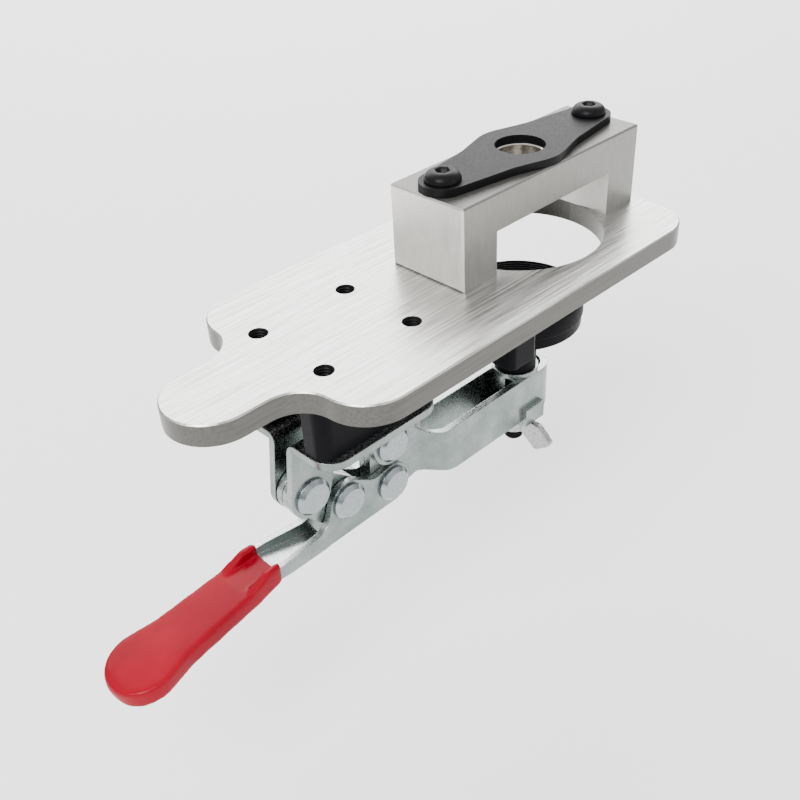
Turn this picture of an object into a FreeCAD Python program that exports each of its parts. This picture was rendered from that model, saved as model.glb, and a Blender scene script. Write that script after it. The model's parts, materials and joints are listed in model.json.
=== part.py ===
import FreeCAD, Part
import math
import os
import re

import Sketcher
from FreeCAD import Placement, Rotation, Vector

# Boring jig for concealed cup hinges: a plate with a drill-bush bridge, edge stops and an
# inverted toggle clamp that pulls a rubber pad up against the back of the door panel.
# Frame: X along the plate (clamp handle at -X), Y across it, Z up.
# Origin: axis of the drill bush and cutter hole, at the top face of the plate. Millimetres.

doc = FreeCAD.newDocument("hinge_boring_jig")

SIZES = [
    # base plate
    ("plate_width", 65.0), ("plate_thick", 5.8), ("plate_right", 38.6), ("shoulder_left", 88.5),
    ("tongue_left", 116.4), ("tongue_half", 11.6), ("corner_radius", 12.3), ("shoulder_radius", 12.0),
    ("root_radius", 9.4), ("plate_bevel", 0.35), ("cutter_radius", 23.5),
    ("tap_radius", 2.5), ("tap_rear", 82.0), ("tap_front", 53.9), ("tap_side", 12.0),
    # bridge, bush and retainer
    ("bridge_length", 72.0), ("bridge_width", 25.0), ("bridge_height", 22.6), ("leg_length", 12.6),
    ("opening_height", 12.4), ("bridge_bevel", 0.45), ("bush_outer", 8.6), ("bush_bore", 6.6),
    ("keeper_thick", 2.2), ("keeper_lobe", 12.3), ("keeper_waist", 11.1), ("keeper_end", 6.2),
    ("keeper_blend", 7.5), ("keeper_neck", 14.6), ("keeper_reach", 29.6), ("keeper_hole", 6.75),
    ("button_radius", 4.75), ("button_height", 2.6),
    ("button_shank", 2.4), ("button_grip", 8.0), ("button_socket", 1.9), ("socket_depth", 1.6),
    ("leg_screw_radius", 2.4), ("leg_screw_head", 4.6), ("leg_head_height", 2.6),
    ("leg_screw_length", 14.0), ("leg_screw_side", 7.0),
    # spacer block and edge stops
    ("flange_top", 22.2), ("spacer_left", 88.0), ("spacer_right", 49.5), ("spacer_half", 16.0),
    ("spacer_corner", 3.5), ("spacer_slot_half", 9.0), ("spacer_slot_end", 64.0),
    ("stop_left", 31.5), ("stop_right", 21.5), ("stop_inner", 14.0), ("stop_outer", 25.0),
    ("stop_height", 14.7), ("stop_corner", 1.6), ("stop_screw_radius", 2.0), ("stop_screw_head", 3.9),
    ("stop_screw_bite", 3.4),
    # clamp base stampings
    ("sheet_thick", 2.0), ("ear_inner", 2.4), ("flange_left", 88.5), ("flange_right", 50.0),
    ("flange_half", 18.3), ("flange_corner", 6.5), ("bend_radius", 2.8), ("ear_lobe", 6.4),
    ("clamp_screw_radius", 2.4), ("clamp_screw_head", 4.1), ("clamp_screw_end", 3.0),
    # pivots of the toggle linkage, as distances left of and below the origin
    ("link_pivot_x", 84.2), ("link_pivot_z", 40.5), ("arm_pivot_x", 56.0), ("arm_pivot_z", 40.2),
    ("crank_pivot_x", 56.7), ("crank_pivot_z", 53.3), ("knee_pivot_x", 72.7), ("knee_pivot_z", 49.4),
    ("pin_radius", 2.5), ("pin_gap", 0.06), ("head_radius", 5.2), ("head_height", 1.8), ("head_bevel", 1.1),
    ("eye_radius", 4.25), ("eye_shift_x", 1.22), ("eye_shift_z", 0.73), ("link_lobe", 6.2),
    ("link_eye_lobe", 7.2), ("layer_gap", 0.12), ("link_thick", 2.05),
    # clamp arm
    ("arm_thick", 2.1), ("arm_half", 6.9), ("arm_top", 45.6), ("arm_bottom", 60.5), ("arm_tip", 11.5),
    ("arm_crank_lobe", 6.2), ("arm_pivot_lobe", 6.3),
    # spindle, pad and nuts
    ("spindle_radius", 3.0), ("spindle_tip", 71.5), ("pad_radius", 19.3), ("pad_top", 19.5),
    ("pad_bottom", 27.8), ("pad_backing", 3.0), ("sleeve_radius", 6.3), ("saddle_top_radius", 7.0),
    ("saddle_thick", 1.5), ("saddle_low_radius", 8.0), ("saddle_half", 4.2), ("saddle_lug", 4.2),
    ("spindle_gap", 0.08), ("bolt_head_radius", 5.0), ("bolt_head_height", 3.5),
    ("wing_hub_top", 62.1), ("wing_hub_height", 5.6), ("wing_hub_radius", 5.3), ("wing_thick", 2.2),
    # handle
    ("channel_web", 1.5), ("channel_wide", 4.3), ("channel_wall_end", 1.6), ("trough_half", 4.0),
    ("trough_floor", 56.9),
    ("grip_half", 6.3), ("grip_start", 97.0), ("grip_tip", 145.8), ("paddle_half", 9.4),
]

sheet = doc.addObject("Spreadsheet::Sheet", "sizes")
for row, (alias, number) in enumerate(SIZES, start=1):
    sheet.set(f"A{row}", alias)
    sheet.set(f"B{row}", str(number))
    sheet.setAlias(f"B{row}", alias)
doc.recompute()
ALIASES = {alias for alias, number in SIZES}


def cell(text):
    """The expression with every alias pointed at the spreadsheet."""
    return re.sub(r"[a-z_]+", lambda m: "sizes." + m.group(0) if m.group(0) in ALIASES else m.group(0), text)


def size(alias):
    return float(sheet.get(alias))


def bind(obj, prop, text):
    obj.setExpression(prop, cell(text))


def place(obj, corner):
    for axis, text in zip("xyz", corner):
        bind(obj, f".Placement.Base.{axis}", text)
    return obj


ALONG = {
    "Z": Rotation(),
    "Y": Rotation(Vector(1, 0, 0), -90),
    "-Y": Rotation(Vector(1, 0, 0), 90),
    "-Z": Rotation(Vector(1, 0, 0), 180),
}


def box(name, lengths, corner):
    obj = doc.addObject("Part::Box", name)
    for prop, text in zip(("Length", "Width", "Height"), lengths):
        bind(obj, prop, text)
    return place(obj, corner)


def cylinder(name, radius, height, base, along="Z"):
    obj = doc.addObject("Part::Cylinder", name)
    obj.Placement = Placement(Vector(), ALONG[along])
    bind(obj, "Radius", radius)
    bind(obj, "Height", height)
    return place(obj, base)


def cone(name, radius_low, radius_high, height, base, along="Z"):
    obj = doc.addObject("Part::Cone", name)
    obj.Placement = Placement(Vector(), ALONG[along])
    bind(obj, "Radius1", radius_low)
    bind(obj, "Radius2", radius_high)
    bind(obj, "Height", height)
    return place(obj, base)


def hexagon(name, radius, height, base, along="Z"):
    obj = doc.addObject("Part::Prism", name)
    obj.Polygon = 6
    obj.Placement = Placement(Vector(), ALONG[along])
    bind(obj, "Circumradius", radius)
    bind(obj, "Height", height)
    return place(obj, base)


def fuse(name, parts):
    obj = doc.addObject("Part::MultiFuse", name)
    obj.Shapes = parts
    return obj


def cut(name, base, tools):
    tool = tools[0] if len(tools) == 1 else fuse(f"{name}_tools", tools)
    obj = doc.addObject("Part::Cut", name)
    obj.Base = base
    obj.Tool = tool
    return obj


def common(name, first, second):
    obj = doc.addObject("Part::Common", name)
    obj.Base = first
    obj.Tool = second
    return obj


def group(name, members):
    obj = doc.addObject("Part::Compound", name)
    obj.Links = members
    return obj


def belt(circles):
    """Closed wire round (x, y, radius) circles, anticlockwise; a negative radius bends inwards."""
    count = len(circles)
    headings = []
    for index in range(count):
        x1, y1, r1 = circles[index]
        x2, y2, r2 = circles[(index + 1) % count]
        span = math.hypot(x2 - x1, y2 - y1)
        headings.append(math.atan2(y2 - y1, x2 - x1) - math.asin((r2 - r1) / span))

    def touch(circle, heading):
        x, y, radius = circle
        return Vector(x + radius * math.sin(heading), y - radius * math.cos(heading), 0)

    edges = []
    for index, circle in enumerate(circles):
        before, after = headings[index - 1], headings[index]
        turn = (after - before) % (2 * math.pi)
        if circle[2] < 0:
            turn -= 2 * math.pi
        if abs(circle[2]) > 0:
            middle = touch(circle, before + turn / 2)
            edges.append(Part.Arc(touch(circle, before), middle, touch(circle, after)).toShape())
        following = circles[(index + 1) % count]
        edges.append(Part.LineSegment(touch(circle, after), touch(following, after)).toShape())
    return Part.Wire(edges)


TO_SIDE = Placement(Vector(), Rotation(Vector(1, 0, 0), 90))


def outline(name, circles, plane, level):
    """Flat face inside a belt, drawn in the XY plane at a Z level or in the XZ plane at a Y level."""
    obj = doc.addObject("Part::Feature", name)
    obj.Shape = Part.Face(belt(circles))
    if plane == "XZ":
        obj.Placement = Placement(Vector(0, level, 0), TO_SIDE.Rotation)
    else:
        obj.Placement = Placement(Vector(0, 0, level), Rotation())
    return obj


def extrude(name, face, direction, length):
    obj = doc.addObject("Part::Extrusion", name)
    obj.Base = face
    obj.DirMode = "Custom"
    obj.Dir = direction
    obj.Solid = True
    bind(obj, "LengthFwd", length)
    return obj


def edges_where(shape, test):
    return [f"Edge{number}" for number, edge in enumerate(shape.Edges, start=1) if test(edge)]


def is_vertical(edge):
    ends = [vertex.Point for vertex in edge.Vertexes]
    return len(ends) == 2 and abs(ends[0].z - ends[1].z) > 0.5 and ends[0].distanceToPoint(
        Vector(ends[1].x, ends[1].y, ends[0].z)) < 1e-3


# PartDesign helpers -----------------------------------------------------------------------

def new_body(name):
    return doc.addObject("PartDesign::Body", name)


def new_sketch(body, name, role, offset=None):
    sketch = body.newObject("Sketcher::SketchObject", name)
    plane = [feature for feature in body.Origin.OriginFeatures if feature.Role == role][0]
    sketch.AttachmentSupport = (plane, [""])
    sketch.MapMode = "FlatFace"
    if offset:
        bind(sketch, ".AttachmentOffset.Base.z", offset)
    return sketch


def pin_point(sketch, geometry, point, texts):
    """Fixes a sketch point at the X and Y that two expressions give."""
    for kind, axis, text in zip(("DistanceX", "DistanceY"), (-2, -1), texts):
        if text == "0":
            sketch.addConstraint(Sketcher.Constraint("PointOnObject", geometry, point, axis))
            continue
        amount = number_of(text)
        if amount > 0:
            rule = sketch.addConstraint(Sketcher.Constraint(kind, -1, 1, geometry, point, amount))
            bind(sketch, f"Constraints[{rule}]", text)
        else:
            rule = sketch.addConstraint(Sketcher.Constraint(kind, geometry, point, -1, 1, -amount))
            bind(sketch, f"Constraints[{rule}]", f"-({text})")


def number_of(text):
    result = sheet.evalExpression(cell(text))
    return float(result.Value if hasattr(result, "Value") else result)


def polygon(sketch, corners):
    points = [Vector(number_of(x), number_of(y), 0) for x, y in corners]
    count = len(points)
    for index in range(count):
        sketch.addGeometry(Part.LineSegment(points[index], points[(index + 1) % count]), False)
    for index in range(count):
        sketch.addConstraint(Sketcher.Constraint("Coincident", index, 2, (index + 1) % count, 1))
        pin_point(sketch, index, 1, corners[index])


def circle(sketch, centre, radius):
    middle = Vector(number_of(centre[0]), number_of(centre[1]), 0)
    geometry = sketch.addGeometry(Part.Circle(middle, Vector(0, 0, 1), number_of(radius)), False)
    pin_point(sketch, geometry, 3, centre)
    rule = sketch.addConstraint(Sketcher.Constraint("Radius", geometry, number_of(radius)))
    bind(sketch, f"Constraints[{rule}]", radius)


def pad(body, name, sketch, length, reverse=False, both=False):
    feature = body.newObject("PartDesign::Pad", name)
    feature.Profile = sketch
    feature.Reversed = reverse
    feature.Midplane = both
    bind(feature, "Length", length)
    doc.recompute()
    return feature


def pocket(body, name, sketch, length, reverse=False, both=False):
    before = body.Tip.Shape.Volume
    feature = body.newObject("PartDesign::Pocket", name)
    feature.Profile = sketch
    feature.Reversed = reverse
    feature.Midplane = both
    bind(feature, "Length", length)
    doc.recompute()
    if feature.Shape.Volume > before - 1e-3:
        raise RuntimeError(f"{name} cuts nothing")
    return feature


def dress(body, kind, name, prop, amount, test):
    base = body.Tip
    feature = body.newObject(f"PartDesign::{kind}", name)
    feature.Base = (base, edges_where(base.Shape, test))
    bind(feature, prop, amount)
    doc.recompute()
    return feature


NODES = []


def keep(obj, label):
    obj.Label = label
    NODES.append(obj)
    return obj


# Base plate -------------------------------------------------------------------------------

def make_base_plate():
    body = new_body("base_plate_body")
    slab = new_sketch(body, "slab_sketch", "XY_Plane")
    polygon(slab, [("-shoulder_left", "-plate_width/2"), ("plate_right", "-plate_width/2"),
                   ("plate_right", "plate_width/2"), ("-shoulder_left", "plate_width/2")])
    pad(body, "slab", slab, "plate_thick", reverse=True)
    tongue = new_sketch(body, "tongue_sketch", "XY_Plane")
    tip_x = "tongue_half - tongue_left"
    polygon(tongue, [(tip_x, "-tongue_half"), ("-shoulder_left + 4", "-tongue_half"),
                     ("-shoulder_left + 4", "tongue_half"), (tip_x, "tongue_half")])
    pad(body, "tongue", tongue, "plate_thick", reverse=True)
    tip = new_sketch(body, "tip_sketch", "XY_Plane")
    circle(tip, (tip_x, "0"), "tongue_half")
    pad(body, "tip", tip, "plate_thick", reverse=True)

    def corner(x, y):
        return lambda edge: is_vertical(edge) and abs(edge.Vertexes[0].X - x) < 0.01 and abs(
            abs(edge.Vertexes[0].Y) - y) < 0.01

    half = size("plate_width") / 2
    dress(body, "Fillet", "end_corners", "Radius", "corner_radius", corner(size("plate_right"), half))
    dress(body, "Fillet", "shoulders", "Radius", "shoulder_radius", corner(-size("shoulder_left"), half))
    dress(body, "Fillet", "tongue_roots", "Radius", "root_radius",
          corner(-size("shoulder_left"), size("tongue_half")))
    opening = new_sketch(body, "cutter_sketch", "XY_Plane")
    circle(opening, ("0", "0"), "cutter_radius")
    pocket(body, "cutter_hole", opening, "plate_thick")
    taps = new_sketch(body, "tap_sketch", "XY_Plane")
    for x in ("-tap_rear", "-tap_front"):
        for y in ("tap_side", "-tap_side"):
            circle(taps, (x, y), "tap_radius")
    pocket(body, "tapped_holes", taps, "plate_thick")

    def on_rim(edge):
        level = all(abs(vertex.Z) < 1e-6 for vertex in edge.Vertexes)
        return level and not is_vertical(edge) and len(edge.Vertexes) == 2

    dress(body, "Chamfer", "broken_edges", "Size", "plate_bevel", on_rim)
    feet = new_sketch(body, "foot_hole_sketch", "XY_Plane")
    sinks = new_sketch(body, "foot_sink_sketch", "XY_Plane", "-plate_thick")
    for x in ("leg_length/2 - bridge_length/2", "bridge_length/2 - leg_length/2"):
        for y in ("leg_screw_side", "-leg_screw_side"):
            circle(feet, (x, y), "leg_screw_radius")
            circle(sinks, (x, y), "leg_screw_head")
    pocket(body, "foot_screw_holes", feet, "plate_thick")
    pocket(body, "foot_screw_sinks", sinks, "leg_head_height", reverse=True)
    stops = new_sketch(body, "stop_hole_sketch", "XY_Plane", "-plate_thick")
    for y in ("(stop_inner + stop_outer)/2", "-(stop_inner + stop_outer)/2"):
        circle(stops, ("-(stop_left + stop_right)/2", y), "stop_screw_radius")
    pocket(body, "stop_screw_holes", stops, "stop_screw_bite", reverse=True)
    keep(body, "base_plate")


# Bridge, drill bush and its keeper --------------------------------------------------------

def make_bridge():
    body = new_body("guide_bridge_body")
    arch = new_sketch(body, "arch_sketch", "XZ_Plane")
    inner = "bridge_length/2 - leg_length"
    polygon(arch, [("-bridge_length/2", "0"), (f"-({inner})", "0"), (f"-({inner})", "opening_height"),
                   (inner, "opening_height"), (inner, "0"), ("bridge_length/2", "0"),
                   ("bridge_length/2", "bridge_height"), ("-bridge_length/2", "bridge_height")])
    pad(body, "arch", arch, "bridge_width", both=True)

    def outside(edge):
        box = edge.BoundBox
        ends = abs(abs(box.XMin) - size("bridge_length") / 2) < 0.01 and box.XLength < 0.01
        above = box.ZMin > size("bridge_height") - 0.01
        return ends or above

    dress(body, "Chamfer", "edge_bevel", "Size", "bridge_bevel", outside)
    seat = new_sketch(body, "bush_seat_sketch", "XY_Plane")
    circle(seat, ("0", "0"), "bush_outer")
    pocket(body, "bush_seat", seat, "bridge_height", reverse=True)
    feet = new_sketch(body, "foot_screw_sketch", "XY_Plane")
    for x in ("leg_length/2 - bridge_length/2", "bridge_length/2 - leg_length/2"):
        for y in ("leg_screw_side", "-leg_screw_side"):
            circle(feet, (x, y), "leg_screw_radius")
    pocket(body, "foot_screw_holes", feet, "leg_screw_length - plate_thick", reverse=True)
    top = new_sketch(body, "keeper_screw_sketch", "XY_Plane", "bridge_height")
    for x in ("-keeper_reach", "keeper_reach"):
        circle(top, (x, "0"), "button_shank")
    pocket(body, "keeper_screw_holes", top, "button_grip - keeper_thick")
    keep(body, "guide_bridge")


def make_bush():
    shell = cylinder("bush_shell", "bush_outer", "bridge_height - opening_height",
                     ("0", "0", "opening_height"))
    bore = cylinder("bush_hole", "bush_bore", "bridge_height", ("0", "0", "opening_height - 2"))
    lead = cone("bush_lead", "bush_bore", "bush_bore + 0.5", "0.5", ("0", "0", "bridge_height - 0.5"))
    keep(cut("guide_bush_part", shell, [bore, lead]), "guide_bush")


def make_keeper():
    reach, end, waist = size("keeper_reach"), size("keeper_end"), size("keeper_waist")
    lobe, blend, neck = size("keeper_lobe"), size("keeper_blend"), size("keeper_neck")
    away = waist + (end - waist) * neck / reach + blend
    around = [(-reach, 0, end), (-neck, -away, -blend), (0, 0, lobe), (neck, -away, -blend),
              (reach, 0, end), (neck, away, -blend), (0, 0, lobe), (-neck, away, -blend)]
    blade = outline("keeper_blade_outline", around, "XY", size("bridge_height"))
    whole = extrude("keeper_blade", blade, Vector(0, 0, 1), "keeper_thick")
    holes = [cylinder("keeper_bore", "keeper_hole", "keeper_thick + 2", ("0", "0", "bridge_height - 1"))]
    for number, x in enumerate(("-keeper_reach", "keeper_reach"), start=1):
        holes.append(cylinder(f"keeper_screw_hole_{number}", "button_shank + 0.1", "keeper_thick + 2",
                              (x, "0", "bridge_height - 1")))
    keep(cut("bush_retainer_part", whole, holes), "bush_retainer")


def button_screw(name, x):
    top = "bridge_height + keeper_thick"
    shank = cylinder(f"{name}_shank", "button_shank", "button_grip", (x, "0", f"{top} - button_grip"))
    head = cone(f"{name}_head", "button_radius", "button_radius*0.55", "button_height", (x, "0", top))
    socket = hexagon(f"{name}_socket", "button_socket", "socket_depth + 1",
                     (x, "0", f"{top} + button_height - socket_depth"))
    return cut(name, fuse(f"{name}_solid", [shank, head]), [socket])


def make_keeper_screws():
    left = button_screw("keeper_screw_left", "-keeper_reach")
    right = button_screw("keeper_screw_right", "keeper_reach")
    keep(group("retainer_screws_set", [left, right]), "retainer_screws")


def make_foot_screws():
    """Countersunk screws from below the plate into the bridge feet."""
    screws = []
    for x in ("leg_length/2 - bridge_length/2", "bridge_length/2 - leg_length/2"):
        for y in ("leg_screw_side", "-leg_screw_side"):
            name = f"foot_screw_{len(screws) + 1}"
            shank = cylinder(f"{name}_shank", "leg_screw_radius", "leg_screw_length - 0.5",
                             (x, y, "-plate_thick"))
            head = cone(f"{name}_head", "leg_screw_head", "leg_screw_radius",
                        "leg_screw_head - leg_screw_radius", (x, y, "-plate_thick"))
            socket = hexagon(f"{name}_socket", "button_socket", "socket_depth", (x, y, "-plate_thick"))
            screws.append(cut(name, fuse(f"{name}_solid", [shank, head]), [socket]))
    keep(group("bridge_screws_set", screws), "bridge_screws")


# Spacer block and edge stops --------------------------------------------------------------

def make_spacer():
    """Block between plate and flanges, slotted so that the linkage can swing up into it."""
    left, right, corner = -size("spacer_left"), -size("spacer_right"), size("spacer_corner")
    inset = size("spacer_half") - corner
    rim = [(left + corner, -inset, corner), (right - corner, -inset, corner),
           (right - corner, inset, corner), (left + corner, inset, corner)]
    block = extrude("spacer_solid", outline("spacer_outline", rim, "XY", -size("flange_top")),
                    Vector(0, 0, 1), "flange_top - plate_thick")
    slot = box("spacer_slot", ("spacer_left - spacer_slot_end + 5", "2*spacer_slot_half", "flange_top + 2"),
               ("-spacer_left - 5", "-spacer_slot_half", "-flange_top - 1"))
    holes = [cylinder(f"spacer_hole_{x[5:]}_{number}", "clamp_screw_radius + 0.1", "flange_top + 2",
                      (x, y, "-flange_top - 1"))
             for x in ("-tap_rear", "-tap_front")
             for number, y in enumerate(("tap_side", "-tap_side"), start=1)]
    keep(cut("spacer_block_part", block, [slot, *holes]), "spacer_block")


def make_edge_stops():
    screws = []
    for label, low in (("near", "-stop_outer"), ("far", "stop_inner")):
        body = new_body(f"edge_stop_{label}_body")
        block = new_sketch(body, f"stop_{label}_sketch", "XY_Plane", "-plate_thick")
        high = f"{low} + stop_outer - stop_inner"
        polygon(block, [("-stop_left", low), ("-stop_right", low),
                        ("-stop_right", high), ("-stop_left", high)])
        pad(body, f"stop_{label}", block, "stop_height", reverse=True)
        dress(body, "Fillet", f"stop_{label}_corners", "Radius", "stop_corner", is_vertical)
        middle = ("-(stop_left + stop_right)/2", f"{low} + (stop_outer - stop_inner)/2")
        hole = new_sketch(body, f"stop_{label}_hole_sketch", "XY_Plane", "-plate_thick")
        circle(hole, middle, "stop_screw_radius + 0.1")
        pocket(body, f"stop_{label}_hole", hole, "stop_height")
        foot = "-plate_thick - stop_height"
        sink = new_sketch(body, f"stop_{label}_sink_sketch", "XY_Plane", foot)
        circle(sink, middle, "stop_screw_head + 0.1")
        pocket(body, f"stop_{label}_counterbore", sink, "stop_screw_head", reverse=True)
        keep(body, f"edge_stop_{label}")
        name = f"stop_screw_{label}"
        shank = cylinder(f"{name}_shank", "stop_screw_radius", "stop_height + stop_screw_bite - 0.4",
                         (*middle, f"{foot} + 0.4"))
        head = cylinder(f"{name}_head", "stop_screw_head", "stop_screw_head - 0.4",
                        (*middle, f"{foot} + 0.4"))
        socket = hexagon(f"{name}_socket", "button_socket", "socket_depth", (*middle, f"{foot} + 0.4"))
        screws.append(cut(name, fuse(f"{name}_solid", [shank, head]), [socket]))
    keep(group("edge_stop_screws_set", screws), "edge_stop_screws")


# Clamp base -------------------------------------------------------------------------------

def pivot(name):
    return -size(f"{name}_pivot_x"), -size(f"{name}_pivot_z")


def ear_outline():
    """Side view of the base: a rear ear, a window and a front ear under one flange."""
    left, right, top = -size("flange_left"), -size("flange_right"), -size("flange_top")
    lobe, corner, window_top = size("ear_lobe"), 1.0, top - 6.3
    rear, front = pivot("link"), pivot("arm")
    return [(*rear, lobe), (rear[0] + 11.9, window_top, -2.0), (front[0] - 12.2, window_top, -2.0),
            (*front, lobe), (right - corner, top - corner, corner), (left + corner, top - corner, corner)]


def make_clamp_base(label, side):
    """An L stamping: ear beside the linkage, flange turned outwards under the spacer."""
    inner, thick, half = size("ear_inner"), size("sheet_thick"), size("flange_half")
    top, corner = -size("flange_top"), size("flange_corner")
    left, right = -size("flange_left"), -size("flange_right")
    outwards = Vector(0, side, 0)
    ear = extrude(f"base_{label}_ear", outline(f"base_{label}_profile", ear_outline(), "XZ", side * inner),
                  outwards, "sheet_thick")
    rim = [(left, inner, 0), (right, inner, 0), (right - corner, half - corner, corner),
           (left + corner, half - corner, corner)]
    if side < 0:
        rim = [(x, -y, radius) for x, y, radius in reversed(rim)]
    flange = extrude(f"base_{label}_flange", outline(f"base_{label}_rim", rim, "XY", top),
                     Vector(0, 0, -1), "sheet_thick")
    folded = fuse(f"base_{label}_folded", [ear, flange])
    doc.recompute()

    def along_bend(edge, y, z):
        box = edge.BoundBox
        return box.XLength > 10 and box.YLength < 0.01 and box.ZLength < 0.01 and abs(
            box.YMin - side * y) < 0.02 and abs(box.ZMin - z) < 0.02

    bend = doc.addObject("Part::Fillet", f"base_{label}_bend")
    bend.Base = folded
    rounds = []
    for number, edge in enumerate(folded.Shape.Edges, start=1):
        if along_bend(edge, inner, top):
            rounds.append((number, size("bend_radius"), size("bend_radius")))
    bend.Edges = rounds
    holes = [cylinder(f"base_{label}_pin_hole_{number}", "pin_radius", "ear_inner + sheet_thick + 2",
                      (f"-{name}_pivot_x", "0", f"-{name}_pivot_z"), "Y" if side > 0 else "-Y")
             for number, name in enumerate(("link", "arm"), start=1)]
    for number, x in enumerate(("-tap_rear", "-tap_front"), start=1):
        at = (x, f"{side}*tap_side", "-flange_top - sheet_thick")
        holes.append(cylinder(f"base_{label}_screw_hole_{number}", "clamp_screw_radius + 0.1",
                              "sheet_thick + 1", at))
        holes.append(cone(f"base_{label}_sink_{number}", "clamp_screw_head + 0.1", "clamp_screw_radius + 0.1",
                          "clamp_screw_head - clamp_screw_radius", at))
    keep(cut(f"clamp_base_{label}_part", bend, holes), f"clamp_base_{label}")


def make_clamp_screws():
    """Countersunk screws from below, through flange and spacer into the tapped plate."""
    screws = []
    bottom, taper = "-flange_top - sheet_thick", "clamp_screw_head - clamp_screw_radius"
    for x in ("-tap_rear", "-tap_front"):
        for y in ("tap_side", "-tap_side"):
            name = f"clamp_screw_{len(screws) + 1}"
            shank = cylinder(f"{name}_shank", "clamp_screw_radius", f"-clamp_screw_end - ({bottom})",
                             (x, y, bottom))
            head = cone(f"{name}_head", "clamp_screw_head", "clamp_screw_radius", taper, (x, y, bottom))
            socket = hexagon(f"{name}_socket", "button_socket", "socket_depth", (x, y, bottom))
            screws.append(cut(name, fuse(f"{name}_solid", [shank, head]), [socket]))
    keep(group("clamp_screws_set", screws), "clamp_screws")


def rivet(label, name, reach):
    """A pin across the linkage with a bevelled flat head on each side."""
    where = (f"-{name}_pivot_x", "0", f"-{name}_pivot_z")
    shank = cylinder(f"{label}_shank", "pin_radius", f"2*({reach})", (where[0], f"-({reach})", where[2]), "Y")
    solids = [shank]
    for word, along, sign in (("far", "Y", ""), ("near", "-Y", "-")):
        rim = cylinder(f"{label}_{word}_rim", "head_radius", "head_height - head_bevel",
                       (where[0], f"{sign}({reach})", where[2]), along)
        crown = cone(f"{label}_{word}_crown", "head_radius", "head_radius - head_bevel", "head_bevel",
                     (where[0], f"{sign}({reach} + head_height - head_bevel)", where[2]), along)
        solids += [rim, crown]
    keep(fuse(f"{label}_part", solids), label)


# Moving linkage ---------------------------------------------------------------------------

def pin_hole(name, which, radius, along="Y"):
    return cylinder(name, radius, "40", (f"-{which}_pivot_x", "-20", f"-{which}_pivot_z"), along)


def make_links():
    """Two link plates between the rear pivot and the knee, whose eye leaves room for the knee pin."""
    rear, knee = pivot("link"), pivot("knee")
    eye = (knee[0] - size("eye_shift_x"), knee[1] - size("eye_shift_z"))
    shape = [(*rear, size("link_lobe")), (*eye, size("link_eye_lobe"))]
    for label, side in (("near", -1), ("far", 1)):
        face = outline(f"link_{label}_outline", shape, "XZ", side * size("layer_gap"))
        plate = extrude(f"link_{label}_plate", face, Vector(0, side, 0), "link_thick")
        pin = pin_hole(f"link_{label}_pin_hole", "link", "pin_radius + pin_gap")
        slot = cylinder(f"link_{label}_eye", "eye_radius", "40",
                        ("-knee_pivot_x - eye_shift_x", "-20", "-knee_pivot_z - eye_shift_z"), "Y")
        keep(cut(f"link_{label}_part", plate, [pin, slot]), f"link_{label}")


def arm_side():
    """Side view of the arm: pivot lobe, crank lobe and a straight bar with clipped tip corners."""
    top, bottom, tip = -size("arm_top"), -size("arm_bottom"), size("arm_tip")
    crank, hinge = pivot("crank"), pivot("arm")
    return [(*crank, size("arm_crank_lobe")), (-45.5, bottom - 7.0, -10.0), (-33.0, bottom + 8.0, 8.0),
            (tip - 5.5, bottom + 3.0, 3.0), (tip - 1.5, bottom + 7.5, 1.5), (tip - 2.0, top - 2.0, 2.0),
            (-37.5, top + 10.0, -10.0), (*hinge, size("arm_pivot_lobe"))]


def arm_ribbon():
    """Plan of the folded strip: back to back at the pivots, opened round the spindle, closed at the tip."""
    thick, half, gap = size("arm_thick"), size("arm_half"), size("layer_gap")
    rear, tight = -64.0, 2.0
    wide = tight + thick
    first = (-45.5, gap + thick + tight)
    second = (-36.5, half - wide)
    nose = size("arm_tip") - half
    return [(rear, -gap - thick, 0), (first[0], -first[1], -tight), (second[0], -second[1], wide),
            (nose, 0, half), (second[0], second[1], wide), (first[0], first[1], -tight),
            (rear, gap + thick, 0), (rear, gap, 0),
            (first[0], first[1], wide), (second[0], second[1], -tight),
            (nose, 0, thick - half), (second[0], -second[1], -tight), (first[0], -first[1], wide),
            (rear, -gap, 0)]


def make_arm():
    side_face = outline("arm_side_outline", arm_side(), "XZ", 20.0)
    side = extrude("arm_side_solid", side_face, Vector(0, -1, 0), "40")
    ribbon = extrude("arm_ribbon_solid", outline("arm_ribbon_outline", arm_ribbon(), "XY", -80.0),
                     Vector(0, 0, 1), "60")
    strip = common("arm_strip", side, ribbon)
    holes = [pin_hole("arm_hinge_hole", "arm", "pin_radius + pin_gap"),
             pin_hole("arm_crank_hole", "crank", "pin_radius")]
    keep(cut("clamp_arm_part", strip, holes), "clamp_arm")


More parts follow.
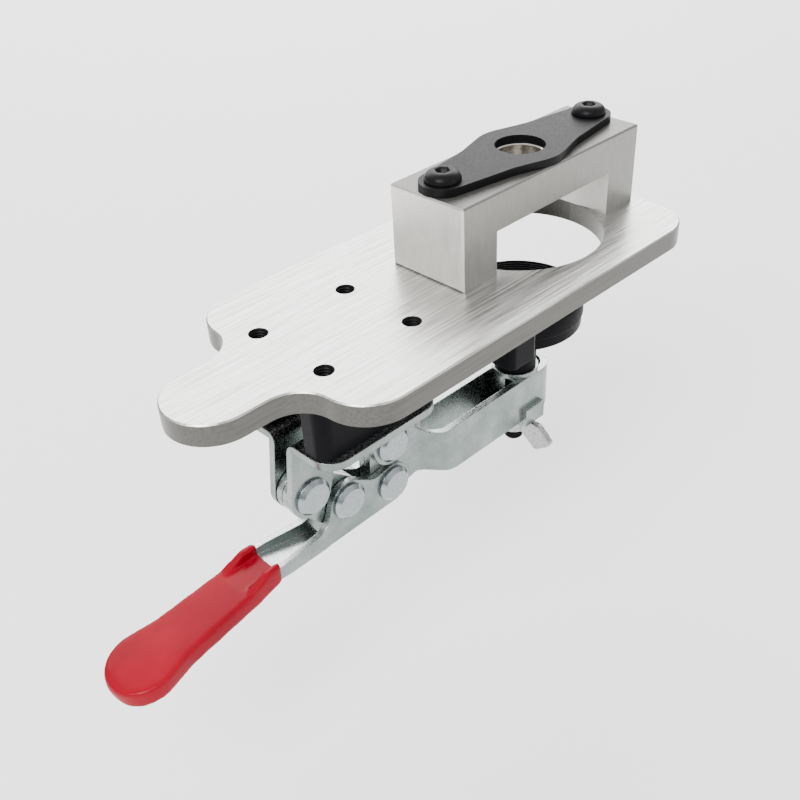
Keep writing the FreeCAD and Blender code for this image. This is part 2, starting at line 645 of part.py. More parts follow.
def make_saddles():
    """Washers that sit on the top and bottom edges of the arm and are kept straight by their lugs."""
    hole = "spindle_radius + spindle_gap"
    disc = cylinder("saddle_top_disc", "saddle_top_radius", "saddle_thick", ("0", "0", "-arm_top"))
    inside = "arm_half - arm_thick - 0.1"
    lug = box("saddle_top_lug", ("2*saddle_half", f"2*({inside})", "saddle_lug/2"),
              ("-saddle_half", f"-({inside})", "-arm_top - saddle_lug/2"))
    bore = cylinder("saddle_top_bore", hole, "20", ("0", "0", "-arm_top - 10"))
    keep(cut("top_saddle_washer_part", fuse("saddle_top_solid", [disc, lug]), [bore]), "top_saddle_washer")
    low = "-arm_bottom - saddle_thick"
    plate = cylinder("saddle_low_disc", "saddle_low_radius", "saddle_thick", ("0", "0", low))
    ears = []
    for label, y in (("near", "-arm_half - saddle_thick"), ("far", "arm_half")):
        ears.append(box(f"saddle_low_ear_{label}",
                        ("2*saddle_half", "saddle_thick", "saddle_lug + saddle_thick"),
                        ("-saddle_half", y, low)))
    drill = cylinder("saddle_low_bore", hole, "20", ("0", "0", f"{low} - 10"))
    keep(cut("bottom_saddle_washer_part", fuse("saddle_low_solid", [plate, *ears]), [drill]),
         "bottom_saddle_washer")


def make_spindle():
    top, low = "-arm_top + saddle_thick", "-pad_bottom"
    sleeve = cylinder("sleeve_body", "sleeve_radius", f"{low} - ({top}) - 0.05", ("0", "0", top))
    bore = cylinder("sleeve_bore", "spindle_radius + spindle_gap", "60", ("0", "0", f"{top} - 2"))
    keep(cut("spindle_sleeve_part", sleeve, [bore]), "spindle_sleeve")
    head_top = "-pad_top - 2"
    shank = cylinder("spindle_shank", "spindle_radius", "spindle_tip - pad_top - 2 - bolt_head_height - 0.8",
                     ("0", "0", "-spindle_tip + 0.8"))
    point = cone("spindle_point", "spindle_radius - 0.8", "spindle_radius", "0.8", ("0", "0", "-spindle_tip"))
    head = hexagon("spindle_head", "bolt_head_radius", "bolt_head_height",
                   ("0", "0", f"{head_top} - bolt_head_height"))
    keep(fuse("spindle_bolt_part", [shank, point, head]), "spindle_bolt")
    rubber = cylinder("pad_rubber", "pad_radius", "pad_bottom - pad_top - pad_backing",
                      ("0", "0", "-pad_bottom + pad_backing"))
    pocket_hex = hexagon("pad_head_recess", "bolt_head_radius", "bolt_head_height",
                         ("0", "0", f"{head_top} - bolt_head_height"))
    pocket_shank = cylinder("pad_shank_recess", "spindle_radius", "pad_bottom - pad_top - 3",
                            ("0", "0", "-pad_bottom"))
    keep(cut("rubber_pad_part", rubber, [pocket_hex, pocket_shank]), "rubber_pad")
    backing = cylinder("pad_backing_disc", "pad_radius - 0.4", "pad_backing", ("0", "0", "-pad_bottom"))
    keep(cut("pad_backing_part", backing, [cylinder("pad_backing_bore", "spindle_radius", "20",
                                                    ("0", "0", "-pad_bottom - 5"))]), "pad_backing")


def wing_outline(side):
    """One wing, seen along X: it leaves the hub and droops outwards at about 45 degrees."""
    root, high, low = side * 3.2, -size("wing_hub_top"), -size("wing_hub_top") - size("wing_hub_height")
    wing = [(root, low + 1.2, 0.6), (side * 9.6, low - 2.9, 1.3), (side * 13.6, high - 5.6, 1.3),
            (side * 9.8, high - 2.0, 1.3), (root, high - 1.2, 0.6)]
    return wing if side > 0 else wing[::-1]


def make_wing_nut():
    top = "-wing_hub_top"
    hub = cone("wing_hub", "wing_hub_radius - 1.1", "wing_hub_radius", "wing_hub_height",
               ("0", "0", f"{top} - wing_hub_height"))
    solids = [hub]
    for label, side in (("near", -1), ("far", 1)):
        face = doc.addObject("Part::Feature", f"wing_{label}_outline")
        face.Shape = Part.Face(belt(wing_outline(side)))
        face.Placement = Placement(Vector(-size("wing_thick") / 2, 0, 0), Rotation(Vector(1, 1, 1), 120))
        solids.append(extrude(f"wing_{label}", face, Vector(1, 0, 0), "wing_thick"))
    bore = cylinder("wing_bore", "spindle_radius + spindle_gap", "30", ("0", "0", f"{top} - 20"))
    keep(cut("wing_nut_part", fuse("wing_nut_solid", solids), [bore]), "wing_nut")


# Handle -----------------------------------------------------------------------------------

def wall_outline():
    """Side view of a handle wall: crank lobe, knee lobe, then a low channel side running left."""
    crank, knee = pivot("crank"), pivot("knee")
    return [(-98.0, -57.8, 0.8), (-82.0, -57.4, 3.0), (crank[0], crank[1] - 0.4, 6.2),
            (-62.0, -42.6, -5.6), (*knee, 5.9), (-84.3, -49.7, -5.2), (-98.0, -55.6, 0.8)]


def web_outline():
    """Side view of the channel floor and of the flat tongue inside the grip."""
    web = size("channel_web")
    return [(-134.0, -63.9, 0.4), (-97.0, -58.6, 0), (-82.0, -60.4, 0), (-80.0, -60.4 + web, 0),
            (-97.0, -58.6 + web, 0), (-134.0, -63.9 + web, 0.4)]


def splayed(name, inner, outer, side):
    """Plan of a strip beside the centre line that moves outwards between the knee and the grip."""
    spread = size("channel_wide") - size("ear_inner")
    thinner = size("sheet_thick") - size("channel_wall_end")
    bends = [(-140.0, 1.0), (-95.0, 1.0), (-80.0, 0.0), (-40.0, 0.0)]
    rim = [(x, side * (inner + spread * share), 0) for x, share in bends]
    rim += [(x, side * (outer + (spread - thinner) * share), 0) for x, share in reversed(bends)]
    if side < 0:
        rim.reverse()
    return extrude(f"{name}_plan_solid", outline(f"{name}_plan", rim, "XY", -80.0), Vector(0, 0, 1), "50")


def make_handle():
    inner, outer = size("ear_inner"), size("ear_inner") + size("sheet_thick")
    channel_parts = []
    for label, side in (("near", -1), ("far", 1)):
        face = outline(f"handle_wall_{label}_outline", wall_outline(), "XZ", 0.0)
        wall = extrude(f"handle_wall_{label}", face, Vector(0, side, 0), "20")
        strip = splayed(f"handle_wall_{label}", inner, outer, side)
        channel_parts.append(common(f"handle_wall_{label}_strip", wall, strip))
        floor = outline(f"handle_web_{label}_outline", web_outline(), "XZ", 0.0)
        web = extrude(f"handle_web_{label}", floor, Vector(0, side, 0), "20")
        half = splayed(f"handle_web_{label}", -0.5 - size("channel_wide") + inner, outer, side)
        channel_parts.append(common(f"handle_web_{label}_strip", web, half))
    channel = fuse("handle_solid", channel_parts)
    crank = pin_hole("handle_crank_hole", "crank", "pin_radius + pin_gap")
    knee = pin_hole("handle_knee_hole", "knee", "pin_radius")
    keep(cut("handle_channel_part", channel, [crank, knee]), "handle_channel")
    return channel


def grip_plan():
    """Plan of the grip: parallel at the channel, then a waist, then a round paddle."""
    half, start, tip = size("grip_half"), -size("grip_start"), -size("grip_tip")
    end, waist, bend = size("paddle_half"), 7.6, 10.0
    return [(tip + end, 0, end), (-126.0, -waist - bend, -bend), (start - 1.5, -half + 1.0, 1.0),
            (start - 1.5, half - 1.0, 1.0), (-126.0, waist + bend, -bend)]


def grip_side():
    """Side view of the grip's body: flat at the channel, then a paddle drooping to the tip."""
    start, tip, floor = -size("grip_start"), -size("grip_tip"), -size("trough_floor")
    return [(tip + 2.5, -64.4, 2.5), (-106.0, -58.9, 2.5), (start - 1.2, -58.2, 1.2),
            (start - 0.6, floor - 0.6, 0.6), (-109.0, floor - 2.0, 2.0)]


def lip_side():
    """Side view of the lips that cover the channel walls and fade into the paddle."""
    start = -size("grip_start")
    return [(-110.5, -58.2, 0.3), (start - 0.8, -58.2, 0.3), (start - 0.8, -54.5, 0.8), (-101.5, -55.1, 1.2)]


def make_grip(channel):
    plan = extrude("grip_plan_solid", outline("grip_plan_outline", grip_plan(), "XY", -80.0),
                   Vector(0, 0, 1), "40")
    sides = []
    for name, shape in (("paddle", grip_side()), ("lips", lip_side())):
        face = outline(f"grip_{name}_outline", shape, "XZ", 20.0)
        sides.append(extrude(f"grip_{name}_solid", face, Vector(0, -1, 0), "40"))
    blank = common("grip_blank", plan, fuse("grip_sides", sides))
    trough = box("grip_trough", ("30", "2*trough_half", "10"),
                 ("-grip_start - 29", "-trough_half", "-trough_floor"))
    keep(cut("handle_grip_part", blank, [channel, trough]), "handle_grip")


def report_failures():
    problems = []
    for obj in doc.Objects:
        if "Invalid" in obj.State or "Error" in obj.State:
            problems.append(f"{obj.Name}: {obj.State}")
    for node in NODES:
        if node.Shape.isNull() or not node.Shape.isValid() or not node.Shape.Solids:
            problems.append(f"{node.Label}: shape is not valid")
    if problems:
        raise RuntimeError("; ".join(problems))


make_base_plate()
make_bridge()
make_bush()
make_keeper()
make_keeper_screws()
make_foot_screws()
make_spacer()
make_edge_stops()
for word, hand in (("near", -1), ("far", 1)):
    make_clamp_base(word, hand)
make_clamp_screws()
rivet("rear_base_rivet", "link", "ear_inner + sheet_thick")
rivet("front_base_rivet", "arm", "ear_inner + sheet_thick")
make_links()
make_arm()
rivet("crank_rivet", "crank", "ear_inner + sheet_thick")
rivet("knee_rivet", "knee", "ear_inner + sheet_thick")
make_saddles()
make_spindle()
make_wing_nut()
make_grip(make_handle())
doc.recompute()
report_failures()

os.makedirs("parts", exist_ok=True)
for node in NODES:
    node.Shape.exportStep(f"parts/{node.Label}.step")
    print(f"{node.Label:24s} solids {len(node.Shape.Solids)}  volume {node.Shape.Volume:10.1f} mm3")
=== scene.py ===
import json
import math

import bmesh
import bpy
from mathutils import Matrix, Vector


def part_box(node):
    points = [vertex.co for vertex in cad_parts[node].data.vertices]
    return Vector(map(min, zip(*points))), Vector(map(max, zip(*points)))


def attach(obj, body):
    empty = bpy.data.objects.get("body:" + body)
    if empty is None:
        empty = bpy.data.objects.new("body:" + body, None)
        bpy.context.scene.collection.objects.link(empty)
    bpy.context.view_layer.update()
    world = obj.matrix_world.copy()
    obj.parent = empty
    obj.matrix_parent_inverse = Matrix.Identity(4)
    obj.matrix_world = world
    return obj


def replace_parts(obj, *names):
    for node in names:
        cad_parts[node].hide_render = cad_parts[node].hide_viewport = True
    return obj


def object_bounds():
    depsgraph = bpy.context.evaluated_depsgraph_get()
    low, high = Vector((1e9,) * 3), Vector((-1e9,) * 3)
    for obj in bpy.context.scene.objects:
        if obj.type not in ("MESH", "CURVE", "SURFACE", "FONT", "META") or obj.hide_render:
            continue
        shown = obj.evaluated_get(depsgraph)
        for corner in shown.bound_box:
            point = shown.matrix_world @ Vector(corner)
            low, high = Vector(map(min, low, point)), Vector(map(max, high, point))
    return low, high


MM = 0.001
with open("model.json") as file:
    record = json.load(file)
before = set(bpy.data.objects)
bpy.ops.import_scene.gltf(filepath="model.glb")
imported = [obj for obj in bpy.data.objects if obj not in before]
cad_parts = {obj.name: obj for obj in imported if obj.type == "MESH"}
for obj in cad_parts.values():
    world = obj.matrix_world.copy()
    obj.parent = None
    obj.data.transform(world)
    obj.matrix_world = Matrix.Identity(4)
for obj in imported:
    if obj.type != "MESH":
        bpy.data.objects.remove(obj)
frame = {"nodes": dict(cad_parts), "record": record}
NODES = frame["nodes"]
cad_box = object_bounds()


# Camera, floor and light ------------------------------------------------------------------

def add_camera():
    azimuth, elevation, roll = map(math.radians, (-42.668, 35.643, -3.342))
    look = Vector((-math.sin(azimuth) * math.cos(elevation), math.cos(azimuth) * math.cos(elevation),
                   -math.sin(elevation)))
    right = look.cross(Vector((0, 0, 1))).normalized()
    up = right.cross(look)
    across = right * math.cos(roll) + up * math.sin(roll)
    upright = up * math.cos(roll) - right * math.sin(roll)
    data = bpy.data.cameras.new("photo_camera")
    data.sensor_width = 36
    data.lens = 36 * 1002.09 / 800
    data.clip_start = 0.01
    camera = bpy.data.objects.new("photo_camera", data)
    bpy.context.scene.collection.objects.link(camera)
    turn = Matrix((across, upright, -look)).transposed().to_4x4()
    camera.matrix_world = Matrix.Translation(Vector((-197.06, -161.48, 125.32)) * MM) @ turn
    bpy.context.scene.camera = camera


def area_light(name, place, aim, size, watts):
    data = bpy.data.lights.new(name, "AREA")
    data.shape = "RECTANGLE"
    data.size, data.size_y = size
    data.energy = watts
    lamp = bpy.data.objects.new(name, data)
    lamp.location = place
    lamp.rotation_euler = (Vector(aim) - Vector(place)).to_track_quat("-Z", "Y").to_euler()
    bpy.context.scene.collection.objects.link(lamp)


def add_studio():
    # the opened clamp reaches lower than the closed one
    below_open_clamp = cad_box[0][2] - 50 * MM
    bpy.ops.mesh.primitive_plane_add(size=12, location=(0, 0, below_open_clamp))
    floor = bpy.context.object
    floor.name = "studio_floor"
    floor.data.materials.append(paint("floor_white", (0.93, 0.93, 0.93), 0.9))
    world = bpy.data.worlds.new("studio")
    bpy.context.scene.world = world
    world.use_nodes = True
    tree = world.node_tree
    coords = tree.nodes.new("ShaderNodeTexCoord")
    split = tree.nodes.new("ShaderNodeSeparateXYZ")
    ramp = tree.nodes.new("ShaderNodeValToRGB")
    ramp.color_ramp.elements[0].position = 0.0
    ramp.color_ramp.elements[0].color = (0.30, 0.30, 0.31, 1)
    ramp.color_ramp.elements[1].position = 0.55
    ramp.color_ramp.elements[1].color = (1.0, 1.0, 1.0, 1)
    tree.links.new(coords.outputs["Generated"], split.inputs[0])
    tree.links.new(split.outputs["Z"], ramp.inputs[0])
    tree.links.new(ramp.outputs[0], tree.nodes["Background"].inputs["Color"])
    tree.nodes["Background"].inputs["Strength"].default_value = 1.5
    area_light("key_left", (-0.75, -0.25, 0.75), (-0.03, 0, -0.02), (0.5, 0.5), 15.0)
    area_light("back_panel", (0.55, 0.75, 0.62), (-0.03, 0, 0), (1.7, 1.0), 26.0)
    area_light("front_fill", (0.30, -0.85, 0.25), (-0.02, 0, -0.03), (0.5, 0.3), 1.5)


# Materials --------------------------------------------------------------------------------

class Shader:
    """A Principled material with short calls for adding nodes."""

    def __init__(self, name, colour, roughness, metallic=0.0):
        self.material = bpy.data.materials.new(name)
        self.material.use_nodes = True
        self.tree = self.material.node_tree
        self.out = self.tree.nodes["Principled BSDF"]
        self.set("Base Color", (*colour, 1))
        self.set("Roughness", roughness)
        self.set("Metallic", metallic)
        self.height = None
        self.coords = self.node("ShaderNodeTexCoord").outputs["Object"]

    def set(self, name, value):
        self.out.inputs[name].default_value = value

    def node(self, kind, **settings):
        made = self.tree.nodes.new(kind)
        for name, value in settings.items():
            if hasattr(made, name):
                setattr(made, name, value)
            else:
                made.inputs[name.replace("_", " ").title()].default_value = value
        return made

    def link(self, source, target):
        self.tree.links.new(source, target)

    def noise(self, scale, stretch=(1, 1, 1), detail=3.0):
        """Noise over coordinates in millimetres; a small stretch makes long streaks on that axis."""
        mapping = self.node("ShaderNodeMapping")
        mapping.inputs["Scale"].default_value = tuple(1000 * value for value in stretch)
        self.link(self.coords, mapping.inputs["Vector"])
        noise = self.node("ShaderNodeTexNoise")
        noise.inputs["Scale"].default_value = scale
        noise.inputs["Detail"].default_value = detail
        self.link(mapping.outputs[0], noise.inputs["Vector"])
        return noise.outputs["Fac"]

    def vary(self, name, factor, low, high, span=(0.3, 0.7)):
        """Drives an input between two values, or two colours, with a factor."""
        if isinstance(low, tuple):
            ramp = self.node("ShaderNodeValToRGB")
            ramp.color_ramp.elements[0].color = (*low, 1)
            ramp.color_ramp.elements[1].color = (*high, 1)
            ramp.color_ramp.elements[0].position, ramp.color_ramp.elements[1].position = span
            self.link(factor, ramp.inputs[0])
            self.link(ramp.outputs[0], self.out.inputs[name])
            return
        scaled = self.node("ShaderNodeMapRange")
        for socket, value in zip(("From Min", "From Max", "To Min", "To Max"), (*span, low, high)):
            scaled.inputs[socket].default_value = value
        self.link(factor, scaled.inputs["Value"])
        self.link(scaled.outputs[0], self.out.inputs[name])

    def relief(self, factor, depth, strength=1.0):
        """Adds bump of a depth in millimetres on top of what is already there."""
        bump = self.node("ShaderNodeBump")
        bump.inputs["Distance"].default_value = depth * MM
        bump.inputs["Strength"].default_value = strength
        self.link(factor, bump.inputs["Height"])
        if self.height:
            self.link(self.height, bump.inputs["Normal"])
        self.height = bump.outputs["Normal"]
        self.link(self.height, self.out.inputs["Normal"])

    def soften(self, radius):
        """Rounds hard edges in the shading by a radius in millimetres."""
        bevel = self.node("ShaderNodeBevel", samples=4)
        bevel.inputs["Radius"].default_value = radius * MM
        self.height = bevel.outputs["Normal"]
        self.link(self.height, self.out.inputs["Normal"])

    def facing(self, axis):
        """1 on faces that look along the axis, 0 on faces beside it; the mask for painted light and shade.
        """
        geometry = self.node("ShaderNodeNewGeometry")
        split = self.node("ShaderNodeSeparateXYZ")
        flat = self.node("ShaderNodeMath", operation="ABSOLUTE")
        self.link(geometry.outputs["True Normal"], split.inputs[0])
        self.link(split.outputs[axis], flat.inputs[0])
        return flat.outputs[0]

    def paint_shade_along(self, axis, share):
        """Paints shade: keeps only a share of the base colour on faces that look along the axis."""
        source = self.out.inputs["Base Color"].links[0].from_socket
        mix = self.node("ShaderNodeMix", data_type="RGBA", blend_type="MULTIPLY")
        mix.inputs[7].default_value = (share, share, share, 1)
        self.link(self.facing(axis), mix.inputs["Factor"])
        self.link(source, mix.inputs[6])
        self.link(mix.outputs[2], self.out.inputs["Base Color"])


def paint(name, colour, roughness):
    return Shader(name, colour, roughness).material


def paint_light_by_facing(shader, factor, beside, facing, axis="Z"):
    """Paints light and shade into the colour: a lit pair of tones on faces that look along an axis, and a
    darker, shaded pair on the rest; the factor varies the tone inside each pair.
    """
    mix = shader.node("ShaderNodeMix", data_type="RGBA")
    shader.link(shader.facing(axis), mix.inputs["Factor"])
    for socket, (low, high) in ((6, beside), (7, facing)):
        ramp = shader.node("ShaderNodeValToRGB")
        ramp.color_ramp.elements[0].color = (*low, 1)
        ramp.color_ramp.elements[1].color = (*high, 1)
        ramp.color_ramp.elements[0].position, ramp.color_ramp.elements[1].position = 0.36, 0.64
        shader.link(factor, ramp.inputs[0])
        shader.link(ramp.outputs[0], mix.inputs[socket])
    shader.link(mix.outputs[2], shader.out.inputs["Base Color"])


def brushed_aluminium():
    shader = Shader("brushed_aluminium", (0.5, 0.5, 0.49), 0.34, 1.0)
    shader.soften(0.12)
    streaks = shader.noise(1.5, (0.03, 1.0, 1.0), 6.0)
    # painted light and shade: upward faces get the bright pair of tones and the sides a near-black pair; the
    # streaks within each pair are the real brushing grain
    paint_light_by_facing(shader, streaks, ((0.085, 0.083, 0.077), (0.11, 0.108, 0.10)),
             ((0.44, 0.435, 0.42), (0.74, 0.735, 0.72)))
    shader.vary("Roughness", streaks, 0.26, 0.44)
    shader.relief(streaks, 0.02, 0.5)
    return shader.material


def ground_aluminium():
    shader = Shader("ground_aluminium", (0.36, 0.35, 0.33), 0.36, 0.7)
    shader.soften(0.25)
    grain = shader.noise(0.9, (1.0, 1.0, 0.25), 5.0)
    # painted light and shade: faces that look along X get the bright pair of tones and the rest a darker
    # pair, then the upward faces are painted darker by half; the grain within each pair is real
    paint_light_by_facing(shader, grain, ((0.22, 0.215, 0.20), (0.25, 0.245, 0.23)),
             ((0.66, 0.64, 0.60), (0.72, 0.70, 0.66)), "X")
    shader.paint_shade_along("Z", 0.5)
    shader.vary("Roughness", grain, 0.32, 0.42)
    shader.relief(grain, 0.01, 0.3)
    return shader.material


def black_oxide(name, roughness):
    shader = Shader(name, (0.004, 0.004, 0.0045), roughness)
    shader.set("Specular IOR Level", 0.09)
    shader.soften(0.2)
    grain = shader.noise(3.0)
    shader.vary("Roughness", grain, roughness - 0.07, roughness + 0.1)
    shader.relief(grain, 0.02, 0.4)
    return shader.material


def moulded_black(name, roughness, grain_depth):
    shader = Shader(name, (0.0025, 0.0025, 0.0035), roughness)
    shader.set("Specular IOR Level", 0.05)
    shader.soften(0.3)
    grain = shader.noise(2.0, detail=4.0)
    shader.vary("Roughness", grain, roughness - 0.08, roughness + 0.12)
    shader.relief(grain, grain_depth, 0.5)
    return shader.material


def zinc_sheet():
    shader = Shader("zinc_sheet", (0.24, 0.27, 0.26), 0.28, 1.0)
    shader.soften(0.35)
    clouds = shader.noise(0.12, detail=5.0)
    # painted light and shade: upward faces get the lighter pair of tones and the rest a darker pair; the
    # clouds within each pair are real tone
    paint_light_by_facing(shader, clouds, ((0.155, 0.188, 0.178), (0.235, 0.262, 0.252)),
             ((0.40, 0.43, 0.42), (0.52, 0.54, 0.53)))
    speckle = shader.noise(1.6, detail=5.0)
    shader.vary("Roughness", speckle, 0.20, 0.38)
    shader.relief(speckle, 0.012, 0.3)
    return shader.material


def bright_rivet():
    shader = Shader("bright_rivet", (0.3, 0.32, 0.33), 0.24, 1.0)
    shader.soften(0.2)
    grain = shader.noise(1.2, detail=4.0)
    shader.vary("Base Color", grain, (0.24, 0.265, 0.275), (0.30, 0.325, 0.335))
    shader.vary("Roughness", grain, 0.16, 0.30)
    shader.relief(grain, 0.015, 0.4)
    return shader.material


def bush_steel():
    shader = Shader("bush_steel", (0.5, 0.48, 0.45), 0.16, 1.0)
    rings = shader.noise(1.5, (0.2, 0.2, 6.0), 3.0)
    shader.vary("Base Color", rings, (0.30, 0.28, 0.25), (0.52, 0.50, 0.47))
    shader.vary("Roughness", rings, 0.10, 0.26)
    shader.relief(rings, 0.01, 0.5)
    return shader.material


def cast_zinc():
    shader = Shader("cast_zinc", (0.4, 0.4, 0.4), 0.30, 1.0)
    shader.soften(0.3)
    grain = shader.noise(1.1, detail=6.0)
    shader.vary("Base Color", grain, (0.24, 0.24, 0.245), (0.46, 0.46, 0.46))
    shader.vary("Roughness", grain, 0.22, 0.42)
    shader.relief(grain, 0.02, 0.4)
    return shader.material


def red_vinyl():
    shader = Shader("red_vinyl", (0.30, 0.001, 0.004), 0.20)
    shader.set("Specular IOR Level", 0.08)
    shader.set("Coat Weight", 0.03)
    shader.set("Coat Roughness", 0.05)
    clouds = shader.noise(0.08, detail=3.0)
    shader.vary("Base Color", clouds, (0.20, 0.0, 0.008), (0.26, 0.0, 0.011))
    orange_peel = shader.noise(0.55, detail=2.0)
    shader.vary("Roughness", orange_peel, 0.15, 0.27)
    shader.relief(orange_peel, 0.05, 0.3)
    return shader.material


def make_materials():
    return {
        "brushed_aluminium": brushed_aluminium(),
        "ground_aluminium": ground_aluminium(),
        "black_steel": black_oxide("black_steel", 0.36),
        "black_steel_satin": black_oxide("black_steel_satin", 0.42),
        "bush_steel": bush_steel(),
        "black_plastic": moulded_black("black_plastic", 0.38, 0.03),
        "zinc_sheet": zinc_sheet(),
        "bright_rivet": bright_rivet(),
        "black_rubber": moulded_black("black_rubber", 0.5, 0.06),
        "cast_zinc": cast_zinc(),
        "red_vinyl": red_vinyl(),
    }


# Mesh builders, all in millimetres ----------------------------------------------------------

def new_piece(name, body, slot, rings, closed_ends=True, smooth=True):
    """Skins rings of points into one closed piece that rides on a body."""
    mesh = bpy.data.meshes.new(name)
    bm = bmesh.new()
    made = [[bm.verts.new(Vector(point) * MM) for point in ring] for ring in rings]
    count = len(rings[0])
    for first, second in zip(made, made[1:]):
        for index in range(count):
            after = (index + 1) % count
            bm.faces.new((first[index], first[after], second[after], second[index]))
    if closed_ends:
        bm.faces.new(list(reversed(made[0])))
        bm.faces.new(made[-1])
    bmesh.ops.recalc_face_normals(bm, faces=bm.faces)
    bm.to_mesh(mesh)
    bm.free()
    return settle(bpy.data.objects.new(name, mesh), body, slot, smooth)


def settle(piece, body, slot, smooth=True):
    bpy.context.scene.collection.objects.link(piece)
    for polygon in piece.data.polygons:
        polygon.use_smooth = smooth
    piece.data.materials.clear()
    piece.data.materials.append(FINISH[slot])
    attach(piece, body)
    return piece


def lathe(name, body, slot, profile, axis=(0, 0), steps=96):
    """Turns (radius, height) points about an upright axis; the profile starts and ends near the axis."""
    rings = []
    for radius, height in profile:
        ring = []
        for step in range(steps):
            turn = 2 * math.pi * step / steps
            ring.append((axis[0] + radius * math.cos(turn), axis[1] + radius * math.sin(turn), height))
        rings.append(ring)
    return new_piece(name, body, slot, rings)


def rounded(points, radius, steps=4):
    """Replaces each inner corner of a profile by a short arc."""
    result = [points[0]]
    for before, corner, after in zip(points, points[1:], points[2:]):
        middle = Vector(corner)
        inward, outward = Vector(before) - middle, Vector(after) - middle
        reach = min(radius, inward.length * 0.45, outward.length * 0.45)
        start, end = middle + inward.normalized() * reach, middle + outward.normalized() * reach
        for step in range(steps + 1):
            part = step / steps
            point = start * (1 - part) ** 2 + middle * (2 * part * (1 - part)) + end * part ** 2
            result.append(tuple(point))
    return result + [points[-1]]


def softened_copy(node, name, body, slot, voxel, passes):
    """A CAD node's shape with every edge melted round, as dipping or casting leaves it."""
    piece = bpy.data.objects.new(name, NODES[node].data.copy())
    bpy.context.scene.collection.objects.link(piece)
    remesh = piece.modifiers.new("even", "REMESH")
    remesh.mode = "VOXEL"
    remesh.voxel_size = voxel * MM
    melt = piece.modifiers.new("melt", "SMOOTH")
    melt.factor = 0.6
    melt.iterations = passes
    graph = bpy.context.evaluated_depsgraph_get()
    mesh = bpy.data.meshes.new_from_object(piece.evaluated_get(graph))
    bpy.data.objects.remove(piece)
    made = settle(bpy.data.objects.new(name, mesh), body, slot)
    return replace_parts(made, node)


def thread_rings(radius, depth, pitch, low, high, steps=48, per_pitch=8, blend=1.0):
    """Rings of a screw thread; the crest fades out over the blend length at both ends."""
    rows = int((high - low) / pitch * per_pitch)
    rings = []
    for row in range(rows + 1):
        height = low + (high - low) * row / rows
        fade = min(1.0, (height - low) / blend, (high - height) / blend)
        ring = []
        for step in range(steps):
            turn = step / steps
            wave = abs(((height / pitch - turn) % 1.0) * 2 - 1)
            reach = radius - depth * (1 - wave) * max(0.0, fade)
            ring.append((reach * math.cos(2 * math.pi * turn), reach * math.sin(2 * math.pi * turn), height))
        rings.append(ring)
    return rings


# Pieces -------------------------------------------------------------------------------------

def dome_screw(name, centre, top, steps=72):
    """Button head with a hex socket, above its shank."""
    socket, outer, height, depth = 1.9, 4.75, 2.6, 1.8

    def ring(radius, height, hexness):
        points = []
        for step in range(steps):
            turn = 2 * math.pi * step / steps
            flat = math.cos(math.pi / 6) / math.cos((turn % (math.pi / 3)) - math.pi / 6)
            reach = radius * (1 + hexness * (flat - 1))
            points.append((centre + reach * math.cos(turn), reach * math.sin(turn), top + height))
        return points

    rings = [ring(0.15, height - depth, 1), ring(socket, height - depth, 1), ring(socket, height - 0.2, 1),
             ring(socket + 0.15, height - 0.02, 0.8)]
    for step in range(1, 13):
        part = step / 12
        radius = socket + 0.3 + (outer - socket - 0.3) * math.sin(part * math.pi / 2)
        rings.append(ring(radius, 0.35 + (height - 0.35) * math.cos(part * math.pi / 2), 0))
    rings += [ring(outer, 0.12, 0), ring(outer - 0.1, 0.0, 0), ring(2.4, 0.0, 0), ring(2.4, -8.0, 0),
              ring(0.1, -8.0, 0)]
    return new_piece(name, "frame", "black_steel", rings)


def make_screws():
    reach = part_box("retainer_screws")[1][0] / MM - 4.75
    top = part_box("bush_retainer")[1][2] / MM
    for name, centre in (("retainer_screw_left", -reach), ("retainer_screw_right", reach)):
        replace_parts(dome_screw(name, centre, top), "retainer_screws")


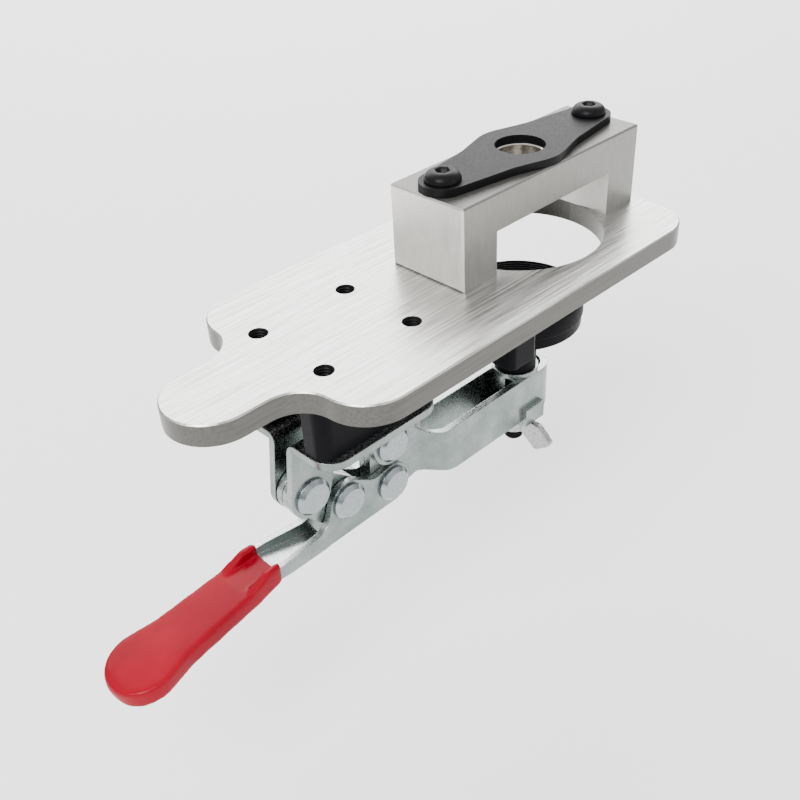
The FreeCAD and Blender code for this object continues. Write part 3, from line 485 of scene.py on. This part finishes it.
def make_pad():
    """Moulded rubber pad with raised rings on its face."""
    top, bottom, rim = -19.5, -24.8, 19.3
    profile = [(0.1, bottom), (rim, bottom), (rim, top)]
    for count in range(5):
        radius = rim - 0.9 - 1.35 * count
        profile += [(radius, top), (radius - 0.2, top - 0.6), (radius - 0.6, top - 0.6), (radius - 0.8, top)]
    profile += [(0.1, top)]
    pad = lathe("ribbed_pad", "spindle", "black_rubber", rounded(profile, 0.35, 3), steps=128)
    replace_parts(pad, "rubber_pad")


def make_spindle():
    """M6 bolt: its thread shows below the arm."""
    steps = 48
    rings = thread_rings(3.0, 0.5, 1.0, -71.5, -40.0, steps)
    tip = [[(x * 0.8, y * 0.8, -71.5) for x, y, z in rings[0]]]
    core = [[(x * 0.05, y * 0.05, -71.5) for x, y, z in rings[0]]]
    top = [[(3.0 * math.cos(2 * math.pi * step / steps), 3.0 * math.sin(2 * math.pi * step / steps), height)
            for step in range(steps)] for height in (-39.5, -22.0)]
    bolt = new_piece("threaded_spindle", "spindle", "black_steel", core + tip + rings[4:] + top)
    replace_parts(bolt, "spindle_bolt")


def make_hole_threads():
    """Threads on the walls of the tapped holes, standing in from the plain bore; they take the black steel
    finish as painted shade for the shadow inside the holes.
    """
    wall = 2.495
    for number, (x, y) in enumerate(((-82, 12), (-82, -12), (-53.9, 12), (-53.9, -12)), start=1):
        inner = thread_rings(2.46, 0.42, 0.8, -5.7, -0.15, blend=0.35)
        outer = [[(wall * math.cos(math.atan2(b, a)), wall * math.sin(math.atan2(b, a)), c)
                  for a, b, c in ring] for ring in (inner[-1], inner[0])]
        rings = [[(x + a, y + b, c) for a, b, c in ring] for ring in inner + outer]
        rings.append(rings[0])
        # painted shade: the aluminium threads get a black steel finish to stand for the shadow in the holes
        new_piece(f"tapped_thread_{number}", "frame", "black_steel_satin", rings, closed_ends=False)


def finish_cad_nodes():
    for entry in frame["record"]["subparts"]:
        node = NODES[entry["node"]]
        for holder in node.material_slots:
            holder.material = FINISH[entry["material_slot"]]


FINISH = make_materials()
add_camera()
add_studio()
finish_cad_nodes()
softened_copy("handle_grip", "dipped_grip", "handle", "red_vinyl", 0.3, 34)
softened_copy("wing_nut", "cast_wing_nut", "wing_nut", "cast_zinc", 0.22, 4)
make_screws()
make_pad()
make_spindle()
make_hole_threads()
